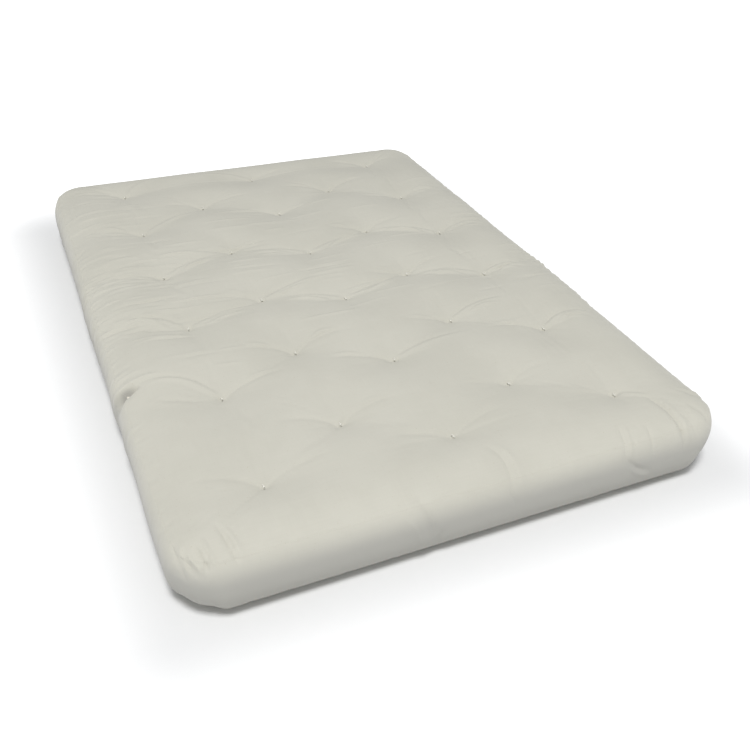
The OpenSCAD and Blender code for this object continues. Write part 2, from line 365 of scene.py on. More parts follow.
def smoothStep(t):
    t = np.clip(t, 0, 1)
    return t * t * (3 - 2 * t)


def reliefAt(x, y):
    # how far each point of the flat cloth stands out
    out = np.zeros_like(x)
    for start, end, height, width, bow, fadeIn, fadeOut, sharp in strokes:
        ex, ey = end[0] - start[0], end[1] - start[1]
        length = math.hypot(ex, ey)
        ex, ey = ex / length, ey / length
        nx, ny = (-ey, ex) if abs(ex) > abs(ey) and ex > 0 else (ey, -ex)
        if abs(ex) <= abs(ey) and nx < 0:
            nx, ny = -nx, -ny
        reach = 4 * width + abs(bow)
        near = np.flatnonzero((x > min(start[0], end[0]) - reach) & (x < max(start[0], end[0]) + reach)
                              & (y > min(start[1], end[1]) - reach) & (y < max(start[1], end[1]) + reach))
        if not len(near):
            continue
        px, py = x[near] - start[0], y[near] - start[1]
        t = (px * ex + py * ey) / length
        d = px * nx + py * ny - bow * 4 * t * (1 - t)
        ends = smoothStep(t / fadeIn) * smoothStep((1 - t) / fadeOut)
        if sharp:
            blunt = relief["creaseRound"] * width
            across = np.exp(-(np.sqrt(d * d + blunt ** 2) - blunt) / width)
        else:
            across = np.exp(-(d / width) ** 2)
        out[near] += height * ends * across
    return out


def addWing(tuft, dx, dy, bow, strength, gathers, bold):
    # the crease that a tuft spreads to one side, and the gathers of cloth that run beside it
    x, y = tuft
    end = (x + dx, y + dy)
    if bold:
        # a fold that stands up, with a trough close behind it
        height, width = relief["foldHeight"], relief["foldWidth"]
        apart, deep, wide = relief["foldTrough"]
        behind = apart * width
        addStroke(tuft, end, height * strength, width, bow, 0.12, 0.45)
        addStroke((x, y + behind), (end[0], end[1] + behind), -deep * height * strength, wide * width,
                  bow, 0.15, 0.45)
    else:
        height, width = relief["creaseDepth"], relief["creaseWidth"]
        addStroke(tuft, end, -height * strength, width, bow, 0.10, 0.55, True)
    height, width = relief["gatherHeight"], relief["gatherWidth"]
    lift, step = relief["gatherBefore" if bold else "gatherBeside"]
    for k in range(gathers):
        away = lift + step * k
        start = (x + relief["gatherFrom"] * dx, y + relief["gatherFrom"] * dy + 0.5 * away)
        tip = (x + dx * (relief["gatherTo"] - 0.12 * k + chance.uniform(-0.1, 0.1)),
               y + dy + away + chance.uniform(-0.004, 0.004))
        addStroke(start, tip, height * strength, width * chance.uniform(0.8, 1.2),
                  bow * chance.uniform(0.9, 1.2), 0.25, 0.45)
        # and the hollow on its head side
        start = (start[0] + 0.03 * dx, start[1] + 0.0075)
        tip = (tip[0] - 0.05 * dx, tip[1] + 0.0080)
        addStroke(start, tip, -0.6 * height * strength, 0.8 * width, bow, 0.2, 0.5, True)


# the bold wings: (row, column, side) to across, along and bow in millimetres, strength and gathers
boldWings = {
    (1, 3, 1): (78, -62, 12, 1.2, 0), (3, 1, -1): (-195, 116, 36, 1.5, 0),
    (3, 2, 1): (260, 35, 14, 1.0, 0), (3, 3, 1): (190, 22, 22, 1.5, 2),
    (4, 2, 1): (215, 34, 18, 1.5, 1), (5, 1, -1): (-220, 78, 30, 1.7, 2),
    (5, 1, 1): (230, 50, 10, 1.4, 2), (5, 2, -1): (-220, 60, 12, 1.3, 2),
    (5, 2, 1): (240, 78, -4, 1.4, 2), (5, 3, -1): (-255, 48, 26, 1.1, 2),
    (5, 3, 1): (190, -8, 26, 1.3, 2), (6, 1, 1): (185, 46, 2, 1.4, 1),
    (7, 1, 1): (222, 74, 14, 1.2, 2), (7, 2, -1): (-225, 68, 10, 1.2, 1),
    (7, 2, 1): (280, 80, 10, 1.3, 2), (7, 3, -1): (-225, 80, 16, 1.1, 2),
    (9, 1, 1): (225, 112, 10, 1.1, 1), (11, 1, 1): (195, 90, 35, 1.0, 0),
    (11, 2, -1): (-200, 70, 20, 0.9, 0),
}
for (row, column), tuft in tufts.items():
    for side in (-1, 1):
        bold = (row, column, side) in boldWings
        if bold:
            *reach, strength, gathers = boldWings[row, column, side]
            dx, dy, bow = metres(reach)
        else:
            dx = side * chance.uniform(*relief["wingLength"])
            dy = abs(dx) * chance.uniform(*relief["wingRise"])
            bow = abs(dx) * chance.uniform(*relief["wingBow"])
            strength = relief["strength"][row - 1] * chance.uniform(0.75, 1.1)
            gathers = chance.choice((0, 1)) if row < 3 else chance.choice((1, 1, 2))
        addWing(tuft, dx, dy, bow, strength, gathers, bold)
        for _ in range(3):
            turn = math.pi / 2 - side * chance.uniform(0.2, 2.6)
            length = chance.uniform(*relief["pullLength"])
            tip = (tuft[0] + length * math.cos(turn), tuft[1] + length * math.sin(turn))
            addStroke(tuft, tip, -relief["pullDepth"], relief["pullWidth"], 0.0, 0.05, 0.6, True)

# fine wrinkles across the mattress, many over the left edge, some over the right, few in between:
# their middle and spread across, their middle and spread along, and how many
for middleX, spreadX, middleY, spreadY, count in (
    (-0.62, 0.10, 0.14, 0.30, 90),
    (-0.45, 0.16, 0.12, 0.30, 60),
    (0.60, 0.08, -0.16, 0.26, 34),
    (0.62, 0.08, 0.30, 0.20, 20),
    (0.05, 0.30, 0.15, 0.30, 50),
    (-0.55, 0.10, 0.66, 0.14, 22),
):
    for _ in range(count):
        x = max(-0.80, min(0.80, chance.gauss(middleX, spreadX)))
        y = chance.gauss(middleY, spreadY * 0.6)
        half = chance.uniform(0.07, 0.24) / 2
        rise = chance.uniform(-0.05, 0.16) * (1 if x > 0 else -1) * half
        height = relief["fineHeight"] * chance.uniform(0.4, 1.5) * chance.choice((-1, 1, 1))
        addStroke((x - half, y - rise), (x + half, y + rise), height,
                  relief["fineWidth"] * chance.uniform(0.7, 1.3), chance.uniform(-0.004, 0.010), 0.35, 0.35)

# pleats and pulls at the foot, in millimetres: (from x, y, to x, y, height, width, bow)
for row in (
    (-590, -850, -562, -975, -4.6, 8, 4), (-575, -865, -547, -975, 3, 7, 4),
    (-636, -885, -620, -965, -4.8, 7, 0), (-622, -880, -604, -965, 3.2, 7, 2),
    (-668, -890, -645, -965, -4.2, 7, 0), (-654, -890, -632, -965, 3, 6, 0),
    (-672, -850, -690, -960, -3.6, 7, 4), (-658, -860, -674, -955, 3, 7, 4),
    (-430, -800, -405, -965, -1.2, 6, 4), (-462, -795, -482, -960, -1, 6, 0),
    (35, -835, 50, -985, -3, 9, 20), (60, -850, 78, -985, 1.6, 9, 18),
    (378, -890, 366, -1000, -2.8, 7, 0), (448, -900, 444, -1000, -2.8, 7, 3),
    (395, -890, 385, -990, 1.5, 7, 0), (-175, -905, -122, -1080, -5, 9, 8),
    (-200, -950, -145, -1085, 3.4, 10, 6), (-105, -1010, -122, -1085, -3, 9, 0),
    (50, -955, 78, -1020, -2, 7, 0), (370, -965, 465, -1030, -5, 10, -14),
    (385, -990, 465, -1050, 3.2, 10, -12), (255, -990, 275, -1030, -1.8, 8, 0),
    (-27, -948, -27, -975, -2, 5, 0), (-330, -930, -322, -995, -1, 6, 0),
    (205, -925, 210, -995, -1.2, 6, 0), (300, -930, 298, -990, -1.2, 6, 0),
    (515, -805, 549, -1020, -7, 9, 4), (530, -812, 565, -1020, 1.5, 8.5, 4),
    (585, -880, 640, -955, -2.6, 8, 6), (615, -840, 700, -885, -4, 8, 4),
    (610, -820, 690, -862, 2.6, 8, 4), (560, -905, 590, -985, -1.3, 7, 0),
    (-600, -905, -655, -975, -2.6, 8, 0),
):
    x, y, toX, toY, height, width, bow = metres(row)
    addStroke((x, y), (toX, toY), relief["pleatDepth"] * height, relief["pleatWidth"] * width, bow,
              0.3, 0.4, height < 0)

# the pocket in the left edge where the cover folds in, with a lip on its head side, listed the same way
for row in (
    (-730, -334, -625, -337, -15, 8, 0), (-730, -352, -640, -352, -4.5, 12, 0),
    (-735, -318, -570, -320, 6.2, 6.5, 3), (-720, -285, -600, -285, 2, 6, 2),
    (-790, -440, -690, -420, 1.8, 7, 0), (-800, -470, -660, -455, -1.4, 6, 4),
    (-740, -500, -650, -470, 1.4, 7, 4),
):
    x, y, toX, toY, *shape = metres(row)
    addStroke((x, y), (toX, toY), *shape, 0.3, 0.3)

# puckers over the long edges: (side, from, to, height)
for side, first, last, height in (
    (-1, -0.310, 0.480, 0.0024),
    (-1, -0.900, -0.450, 0.0010),
    (-1, 0.520, 0.900, 0.0014),
    (1, -0.420, 0.160, 0.0016),
    (1, 0.200, 0.850, 0.0010),
):
    y = first
    while y < last:
        reachIn, reachOut = chance.uniform(0.020, 0.075), chance.uniform(0.020, 0.080)
        slope = chance.uniform(-0.15, 0.45)
        start = (side * (halfW - reachIn), y + slope * reachIn)
        end = (side * (halfW + reachOut), y - 0.3 * slope * reachOut)
        start, end = min(start, end), max(start, end)
        addStroke(start, end, height * chance.uniform(0.4, 1.2) * chance.choice((-1, 1)),
                  chance.uniform(0.0045, 0.0075), chance.uniform(-0.004, 0.004), 0.4, 0.4)
        y += chance.uniform(0.010, 0.030)

# puckers, where the stitching gathers the cloth a little across both seams
nx, ny = rimNormals(rimX, rimY)[2:]
steps = np.hypot(np.diff(rimX, append=rimX[0]), np.diff(rimY, append=rimY[0]))
along = np.concatenate([[0], np.cumsum(steps)])
borderDrop = topSeamLow - baseSeamHigh
place = 0.0
while place < along[-1]:
    k = min(int(np.searchsorted(along, place)), len(rimX) - 1)
    for seam in (0.0, borderDrop):
        above, below = chance.uniform(0.006, 0.024), chance.uniform(0.006, 0.030)
        turn = chance.uniform(-0.35, 0.35)
        start = (rimX[k] + nx[k] * (seam - above) - ny[k] * turn * above,
                 rimY[k] + ny[k] * (seam - above) + nx[k] * turn * above)
        end = (rimX[k] + nx[k] * (seam + below), rimY[k] + ny[k] * (seam + below))
        addStroke(start, end, relief["puckerHeight"] * chance.uniform(-1.2, 1.0), relief["puckerWidth"],
                  0.0, 0.4, 0.4)
    place += chance.uniform(0.010, 0.024)
print("relief has", len(strokes), "strokes")

# where the sides are pinched in or stand out
outline = {
    # side, y, reach along the rim, move outwards, depth inwards
    "pinches": (
        (-1, -0.332, 0.016, -0.008, 0.045),
        (-1, -0.440, 0.060, 0.003, 0.060),
        (-1, -0.275, 0.050, 0.005, 0.060),
        (-1, -0.700, 0.160, 0.006, 0.080),
        (1, -0.375, 0.024, -0.003, 0.030),
        (-1, 0.080, 0.220, 0.004, 0.100),
        (1, -0.130, 0.200, 0.012, 0.100),
        (1, 0.360, 0.140, 0.004, 0.100),
    ),
    "sideReach": 0.25,       # how far a pinch reaches across the mattress
    "footStretch": 1.5,      # how much further it reaches towards the foot than towards the head
    "drawDown": 0.5,         # how far the top goes down, against how far the side goes in
    "cornerTuckHeight": 0.16,
    "tuckReach": 0.12,       # how far under the mattress the tucked foot of the border fades away
}


def pinch(points, spread=1.0):
    # moves points of any layer with the outline, and draws the top down where it is pinched in
    x, y, z = points[..., 0], points[..., 1], points[..., 2]
    a = np.maximum(np.abs(x) - halfW + mattress["cornerRadius"], 0)
    b = np.maximum(np.abs(y) - halfL + mattress["cornerRadius"], 0)
    size = np.maximum(np.hypot(a, b), 0.03)
    nx, ny = np.sign(x) * a / size, np.sign(y) * b / size
    inside = np.minimum(halfW - np.abs(x), halfL - np.abs(y))
    moveX, moveY, moveZ = np.zeros_like(x), np.zeros_like(x), np.zeros_like(x)
    for px, py, reach, amount, depth in outline["pinches"]:
        along = np.where(y < py, (py - y) / outline["footStretch"], y - py) / (reach * spread)
        across = ((x - px * halfW) / outline["sideReach"]) ** 2
        side = np.exp(-along ** 2 - across - np.maximum(inside, 0) / depth)
        if amount < 0:
            amount *= spread
            side = side * smoothStep((z - 0.03) / 0.12)
            wide = np.exp(-(along / 1.4) ** 2 - np.maximum(inside, 0) / (2.5 * depth)) * np.exp(-across)
            moveZ += outline["drawDown"] * amount * wide * smoothStep((z - 0.10) / 0.08)
        moveX += nx * amount * side
    # the foot of the border turns in under the mattress, further at the corners
    corner = smoothStep(2.2 * np.minimum(np.abs(nx), np.abs(ny)))
    under = mattress["tuckUnder"] * np.clip(1 - z / mattress["tuckHeight"], 0, 1) ** 1.5
    cornerTuck = mattress["cornerTuck"] * corner
    under = under + cornerTuck * np.clip(1 - z / outline["cornerTuckHeight"], 0, 1) ** 1.6
    under = under * np.exp(-np.maximum(inside - 0.02, 0) / outline["tuckReach"])
    return points + np.stack([moveX - nx * under, moveY - ny * under, moveZ], -1)


# the finished cover, read off the simulated one at finer places
seamPlaces = (0.12, 0.27, 0.45, 0.7)
placesX = finePlaces(gridX, 2, 4, [(-0.69, -0.55), (0.03, 0.09), (0.36, 0.46), (0.49, 0.60)], seamPlaces)
placesY = finePlaces(gridY, 2, 3, [(-0.45, 0.28)], seamPlaces)
placesZ = finePlaces(borderZ, 2, 2, [], seamPlaces)
placesRim = np.concatenate([
    placesX, columns - 1 + placesY[1:],
    columns + rows - 2 + (columns - 1 - placesX[-2::-1]),
    2 * columns + rows - 3 + (rows - 1 - placesY[-2:0:-1]),
])
topCoarse = cover[:columns * rows].reshape(rows, columns, 3)
borderCoarse = cover[columns * rows:].reshape(borderSteps + 1, len(rim), 3)


def gridNormals(points, closed=False):
    # outward normals of a grid of points, from the slopes along its two directions
    if closed:
        wrapped = np.concatenate([points[:, -1:], points, points[:, :1]], axis=1)
        across = np.gradient(wrapped, axis=1)[:, 1:-1]
    else:
        across = np.gradient(points, axis=1)
    normals = np.cross(across, np.gradient(points, axis=0))
    return normals / np.maximum(np.linalg.norm(normals, axis=-1, keepdims=True), 1e-12)


def finer(values):
    return resample(resample(values, placesY, 0), placesX, 1)


topFine = finer(topCoarse)
squareFine = finer(np.stack([squareX, squareY], -1))
planFine = np.stack(bentPlan(squareFine[..., 0], squareFine[..., 1]), -1)
borderFine = resample(resample(borderCoarse, placesZ, 0), placesRim, 1, closed=True)
fineRows, fineColumns = topFine.shape[:2]
fineRim = rimOf(np.arange(fineRows * fineColumns).reshape(fineRows, fineColumns))
seamLine = (topFine.reshape(-1, 3)[fineRim] + borderFine[0]) / 2
topFine.reshape(-1, 3)[fineRim] = seamLine
borderFine[0] = seamLine
rimPlan = planFine.reshape(-1, 2)[fineRim]
drop = np.concatenate([[0], np.cumsum(np.linalg.norm(np.diff(borderFine, axis=0), axis=-1).mean(1))])
rimOutward = np.stack(rimNormals(rimPlan[:, 0], rimPlan[:, 1])[2:], -1)
borderFlat = rimPlan[None] + drop[:, None, None] * rimOutward[None]

topNormals = gridNormals(topFine)
borderNormals = -gridNormals(borderFine, closed=True)
seamNormals = topNormals.reshape(-1, 3)[fineRim] + borderNormals[0]
seamNormals /= np.linalg.norm(seamNormals, axis=-1, keepdims=True)
topNormals.reshape(-1, 3)[fineRim] = seamNormals
borderNormals[0] = seamNormals


def groove(distance):
    # the seams sit a little deep in the cloth
    return -relief["seamGroove"] * np.exp(-distance / relief["grooveWidth"])


rimDistance = np.minimum(halfW - bulge - np.abs(squareFine[..., 0]),
                         halfL - bulge - np.abs(squareFine[..., 1]))
topOut = reliefAt(planFine[..., 0].ravel(), planFine[..., 1].ravel()).reshape(fineRows, fineColumns)
topOut += groove(rimDistance)
borderOut = reliefAt(borderFlat[..., 0].ravel(), borderFlat[..., 1].ravel()).reshape(borderFlat.shape[:2])
borderOut += (groove(drop) + groove(drop[-1] - drop))[:, None]
topFine = pinch(topFine + topNormals * topOut[..., None])
borderFine = pinch(borderFine + borderNormals * borderOut[..., None])
print("cover refined,", (topFine.size + borderFine.size) // 3, "points")


class Socket:
    # a socket of a node tree: operators on it add Math nodes, and out() adds any other node
    def __init__(self, tree, socket=None):
        self.tree = tree
        self.socket = socket

    def node(self, kind, settings, inputs):
        made = self.tree.nodes.new(kind)
        for name, value in settings.items():
            setattr(made, name, value)
        for name, value in inputs.items():
            if isinstance(value, Socket):
                self.tree.links.new(value.socket, made.inputs[name])
            else:
                made.inputs[name].default_value = value
        return made

    def out(self, kind, settings, inputs, name=0):
        return Socket(self.tree, self.node(kind, settings, inputs).outputs[name])

    def math(self, operation, first, second=0.0):
        return self.out("ShaderNodeMath", {"operation": operation}, {0: first, 1: second})

    def __add__(self, other):
        return self.math("ADD", self, other)

    def __mul__(self, other):
        return self.math("MULTIPLY", self, other)

    def __rsub__(self, other):
        return self.math("SUBTRACT", other, self)

    __radd__ = __add__
    __rmul__ = __mul__

    def sine(self):
        return self.math("SINE", self)

    def wave(self):
        # a sine brought between 0 and 1
        return self.sine() * 0.5 + 0.5

    def vector(self, operation, other=(0, 0, 0), name="Vector"):
        return self.out("ShaderNodeVectorMath", {"operation": operation}, {0: self, 1: other}, name)

    def length(self):
        return self.vector("LENGTH", name="Value")

    def split(self):
        parts = self.node("ShaderNodeSeparateXYZ", {}, {"Vector": self})
        return [Socket(self.tree, part) for part in parts.outputs]

    def noise(self, scale, detail, roughness):
        inputs = {"Scale": scale, "Detail": detail, "Roughness": roughness, "Vector": self}
        return self.out("ShaderNodeTexNoise", {}, inputs, "Fac")

    def band(self, low, high):
        # 0 below low, 1 above high, smooth between
        return self.out("ShaderNodeMapRange", {"interpolation_type": "SMOOTHSTEP"},
                        {"Value": self, "From Min": low, "From Max": high})

    def mixed(self, first, second):
        # first where the mask is 0, second where it is 1
        return self.out("ShaderNodeMix", {"data_type": "RGBA"}, {0: self, 6: first, 7: second}, 2)

    def bumped(self, distance, strength, under=None):
        inputs = {"Height": self, "Distance": distance, "Strength": strength}
        if under:
            inputs["Normal"] = under
        return self.out("ShaderNodeBump", {}, inputs)


def newMaterial(name, **constants):
    # a material, the place on it in metres, and its shader
    material = bpy.data.materials.new(name)
    material.use_nodes = True
    shader = material.node_tree.nodes["Principled BSDF"]
    for key, value in constants.items():
        shader.inputs[key.replace("_", " ")].default_value = value
    return material, Socket(material.node_tree).out("ShaderNodeTexCoord", {}, {}, "Object"), shader


def plug(shader, **links):
    for key, value in links.items():
        value.tree.links.new(value.socket, shader.inputs[key.replace("_", " ")])


ticking = {
    "light": (0.575, 0.560, 0.490, 1),
    "dark": (0.535, 0.521, 0.453, 1),
    "fleck": (0.420, 0.370, 0.270, 1),
    "thread": 0.0011,        # pitch of the weave
    "twill": 3,              # threads in one step of the twill line
    "streaks": (14.0, 420.0),        # in a metre, along the streaks and across them
    # painted shade down the border, greyer towards the floor
    "borderShadeTint": (0.425, 0.417, 0.380, 1),
    "borderShadeBand": (0.095, 0.166),      # the heights over which painted shade turns the border greyer
    # painted shade where the cloth comes down to the floor
    "nearFloorShade": (0.40, 0.385, 0.34, 1),
    "nearFloorShadeHeight": 0.030,
    "pocket": (-0.668, -0.336, 0.160),
    "pocketShade": (0.33, 0.32, 0.295, 1),  # painted shade in the fold of the pocket
    "pocketShadeShape": (0.7, 1.4, 0.7),
    "pocketShadeBand": (0.008, 0.026),
}


def tickingMaterial(name, lowShadeTint=None):
    material, place, shader = newMaterial(name, Roughness=0.92, Specular_IOR_Level=0.25,
                                          Sheen_Weight=0.18, Sheen_Roughness=0.5)
    cut = place.out("ShaderNodeUVMap", {"uv_map": "cut"}, {}, "UV")
    u, v = cut.split()[:2]
    turns = 2 * math.pi / ticking["thread"]
    line = ((u + v) * (turns / ticking["twill"])).sine().band(-0.5, 0.5)
    weave = (u * turns).wave() * line + (v * turns).wave() * (1 - line)
    cloudy = place.noise(5.0, 3.0, 0.55)
    slub = cut.noise(900.0, 1.0, 0.5)
    low, high = ticking["streaks"]
    streakAlong = cut.vector("MULTIPLY", (low, high, 1.0)).noise(1.0, 2.0, 0.6)
    streakUp = cut.vector("MULTIPLY", (high, low, 1.0)).noise(1.0, 2.0, 0.6)
    fleck = cut.noise(260.0, 0.0, 0.5).band(0.80, 0.84)
    tone = cloudy.band(0.35, 0.68) * 0.55 + streakAlong.band(0.35, 0.70) * 0.22
    tone = tone + streakUp.band(0.35, 0.70) * 0.15 + slub.band(0.4, 0.7) * 0.08 + (1 - weave) * 0.10
    colour = tone.mixed(ticking["light"], ticking["dark"])
    colour = (fleck * 0.35).mixed(colour, ticking["fleck"])
    height = place.split()[2]
    if lowShadeTint:
        # painted shade: the border turns greyer down its side, as if shaded from the light above
        colour = (1 - height.band(*ticking["borderShadeBand"])).mixed(colour, lowShadeTint)
    # painted shade in the fold of the pocket, under its overhanging lip
    fold = place.vector("SUBTRACT", ticking["pocket"]).vector("MULTIPLY", ticking["pocketShadeShape"]).length()
    colour = ((1 - fold.band(*ticking["pocketShadeBand"])) * 0.8).mixed(colour, ticking["pocketShade"])
    # painted shade: darker within the lowest few centimetres, next to the floor
    colour = ((1 - height.band(0.0, ticking["nearFloorShadeHeight"])) * 0.22).mixed(colour, ticking["nearFloorShade"])
    soft = place.noise(38.0, 3.0, 0.55).bumped(0.0016, 0.45)
    threads = (weave * 0.7 + slub * 0.5).bumped(0.00025, 0.35, soft)
    plug(shader, Base_Color=colour, Roughness=0.86 + 0.10 * tone, Normal=threads)
    return material


def fibreMaterial(name, light, dark, grain, depth, roughness=0.95):
    # clumps with lint on them
    material, place, shader = newMaterial(name, Roughness=roughness, Specular_IOR_Level=0.2,
                                          Sheen_Weight=0.2)
    clumps = place.noise(grain, 4.0, 0.6)
    lint = place.noise(grain * 9, 2.0, 0.6)
    tone = clumps.band(0.3, 0.7) * 0.7 + lint.band(0.35, 0.7) * 0.3
    plug(shader, Base_Color=tone.mixed(light, dark), Roughness=roughness - 0.08 * tone,
         Normal=(clumps * 0.7 + lint * 0.3).bumped(depth, 0.6))
    return material


def foamMaterial(name, hollow, wall, cell):
    # cells of about one size with thin walls between
    material, place, shader = newMaterial(name, Roughness=0.9, Specular_IOR_Level=0.3)
    cells = place.out("ShaderNodeTexVoronoi", {"feature": "DISTANCE_TO_EDGE"},
                      {"Vector": place, "Scale": cell}, "Distance")
    walls = 1 - cells.band(0.02, 0.18)
    cloudy = place.noise(9.0, 2.0, 0.5)
    colour = (cloudy.band(0.3, 0.7) * 0.6 + walls * 0.4).mixed(hollow, wall)
    plug(shader, Base_Color=colour, Roughness=0.95 - 0.15 * walls, Normal=walls.bumped(0.0006, 0.6))
    return material


def threadMaterial(name, light, dark, ply):
    # a twisted thread: slanted plies, one after another in every direction, and fuzz
    material, place, shader = newMaterial(name, Roughness=0.8, Specular_IOR_Level=0.3, Sheen_Weight=0.15)
    x, y, z = place.split()
    plies = ((x + y + z) * (2 * math.pi / ply)).wave()
    fuzz = place.noise(2600.0, 2.0, 0.6)
    tone = (1 - plies) * 0.6 + fuzz.band(0.35, 0.7) * 0.4
    plug(shader, Base_Color=tone.mixed(light, dark), Roughness=0.75 + 0.15 * fuzz,
         Normal=(plies * 0.7 + fuzz * 0.3).bumped(0.0002, 0.5))
    return material


tickingCloth = tickingMaterial("cottonTicking")
borderCloth = tickingMaterial("borderTicking", ticking["borderShadeTint"])
battFibre = fibreMaterial("cottonBatting", (0.86, 0.82, 0.72, 1), (0.70, 0.65, 0.54, 1), 60.0, 0.003)
foamCells = foamMaterial("foam", (0.72, 0.64, 0.40, 1), (0.80, 0.74, 0.52, 1), 700.0)
seamThread = threadMaterial("seamThread", (0.640, 0.625, 0.555, 1), (0.560, 0.546, 0.480, 1), 0.0012)
tuftTwine = threadMaterial("tuftTwine", (0.86, 0.85, 0.79, 1), (0.74, 0.72, 0.65, 1), 0.0016)
print("materials made")


def newPiece(name, points, faces, material, slot, replaced, uv=None):
    mesh = bpy.data.meshes.new(name)
    mesh.from_pydata(np.asarray(points).tolist(), [], faces)
    mesh.polygons.foreach_set("use_smooth", [True] * len(mesh.polygons))
    if uv is not None:
        corners = np.empty(len(mesh.loops), int)
        mesh.loops.foreach_get("vertex_index", corners)
        layer = mesh.uv_layers.new(name="cut")
        layer.data.foreach_set("uv", np.asarray(uv, float)[corners].ravel())
    mesh.materials.append(material)
    mesh.update()
    piece = newObject(name, mesh)
    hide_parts(*replaced)
    return piece


def foldWith(piece):
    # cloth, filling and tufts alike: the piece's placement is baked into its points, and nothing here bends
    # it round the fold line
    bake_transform(piece)


def halves(name):
    # the two nodes that one piece stands for
    return f"seat_{name}", f"back_{name}"


def walled(piece):
    # a cloth wall inwards; the raw edges stay sharp, so the shading runs right up to a seam
    mesh = piece.data
    edges = np.empty(len(mesh.loops), int)
    mesh.loops.foreach_get("edge_index", edges)
    sharp = np.bincount(edges, minlength=len(mesh.edges)) == 1
    mesh.attributes.new("sharp_edge", "BOOLEAN", "EDGE").data.foreach_set("value", sharp)
    wall = piece.modifiers.new("cloth", "SOLIDIFY")
    wall.thickness = mattress["clothThickness"]
    wall.offset = -1.0
    wall.use_even_offset = False


topPanel = newPiece("top_panel", topFine.reshape(-1, 3), gridFaces(fineRows, fineColumns).tolist(),
                    tickingCloth, "ticking", halves("top_panel"), planFine.reshape(-1, 2))

ringHere = np.arange(borderFine[..., 0].size).reshape(borderFine.shape[:2])
ringNext = np.roll(ringHere, -1, 1)
borderFaces = np.stack([ringHere[:-1], ringHere[1:], ringNext[1:], ringNext[:-1]], -1).reshape(-1, 4)
girth = np.concatenate([[0], np.cumsum(np.linalg.norm(np.diff(rimPlan, axis=0), axis=1))])
clearOfTop = 3.0             # metres on the uncut cloth, so that the border shares no threads with the top
borderUv = np.stack(np.broadcast_arrays(girth[None, :], clearOfTop - drop[:, None]), -1).reshape(-1, 2)
border = newPiece("border", borderFine.reshape(-1, 3), borderFaces.tolist(), borderCloth, "ticking",
                  halves("border"), borderUv)

# the underside: flat on the floor, rolled up to its seam, drawn up into a wrinkled pit by every tuft
underside = {
    "pit": 0.012,
    "pitReach": 0.018,
    "pitPower": 1.6,
    "wrinkle": 0.0010,
    "wrinkles": 7,           # round each pit
    "wrinkleRing": 0.035,    # where they are highest, and how wide their ring is
    "wrinkleReach": 0.022,
}
inFromRim = np.minimum(halfW - np.abs(squareX), halfL - np.abs(squareY)) - bulge
bottomZ = baseSeamLow * np.clip(1 - inFromRim / mattress["baseRoll"], 0, 1) ** mattress["basePower"]
for tx, ty in tuftXY:
    away = np.hypot(planX - tx, planY - ty)
    turn = np.arctan2(planY - ty, planX - tx)
    folds = 0.5 + 0.5 * np.cos(underside["wrinkles"] * turn + 13 * tx)
    ring = (away - underside["wrinkleRing"]) / underside["wrinkleReach"]
    bottomZ += underside["wrinkle"] * folds * np.exp(-ring ** 2)
bottomZ += underside["pit"] * roundTufts(planX, planY, underside["pitReach"], underside["pitReach"],
                                         underside["pitPower"])
bottomPoints = pinch(np.stack([planX, planY, bottomZ], -1)).reshape(-1, 3)
bottomPoints[rim] = borderFine[-1, np.searchsorted(placesRim, np.arange(len(rim)))]
bottomPanel = newPiece("bottom_panel", bottomPoints, gridFaces(rows, columns, flip=True).tolist(),
                       tickingCloth, "ticking", halves("bottom_panel"), np.c_[planX.ravel(), planY.ravel()])
for piece in (topPanel, border, bottomPanel):
    walled(piece)
    foldWith(piece)
print("cover made")

# the filling, each layer one sheet from the seat to the back
filling = {
    "seed": 11,
    "coarseX": 2,            # every how many grid lines of the simulated cloth
    "coarseY": 3,
    "clearance": 0.009,      # inside the border
    "gap": 0.0012,           # between two layers
    "round": 0.006,          # how far a layer's edge is rounded in, above and below
    "lint": 0.0012,
    "pinchSpread": 2.5,      # how much further the pinches reach in a layer than in the cover
    "underTop": 0.004,       # between the top batt and the cover
    "overFloor": 0.0035,
    "pit": 0.013,            # how far a tuft draws up the lowest batt
    "pitReach": 0.024,
}
lintChance = np.random.default_rng(filling["seed"])


def thinned(count, step):
    places = list(range(0, count, step))
    return np.array(places if places[-1] == count - 1 else places + [count - 1])


layerX, layerY = thinned(columns, filling["coarseX"]), thinned(rows, filling["coarseY"])
layerSquareX, layerSquareY = np.meshgrid(gridX[layerX], gridY[layerY])


def shrunkPlan(inset):
    # the layer's grid seen from above, drawn in from the fullest outline
    scaleX, scaleY = (halfW - inset) / (halfW - bulge), (halfL - inset) / (halfL - bulge)
    return bentPlan(layerSquareX * scaleX, layerSquareY * scaleY)


def coverInset(z):
    # how far inside the fullest outline the cover lies at a height
    if z < baseSeamLow:
        return bulge + mattress["baseRoll"] * (1 - (z / baseSeamLow) ** (1 / mattress["basePower"]))
    return borderInset(min(z, topSeamLow))


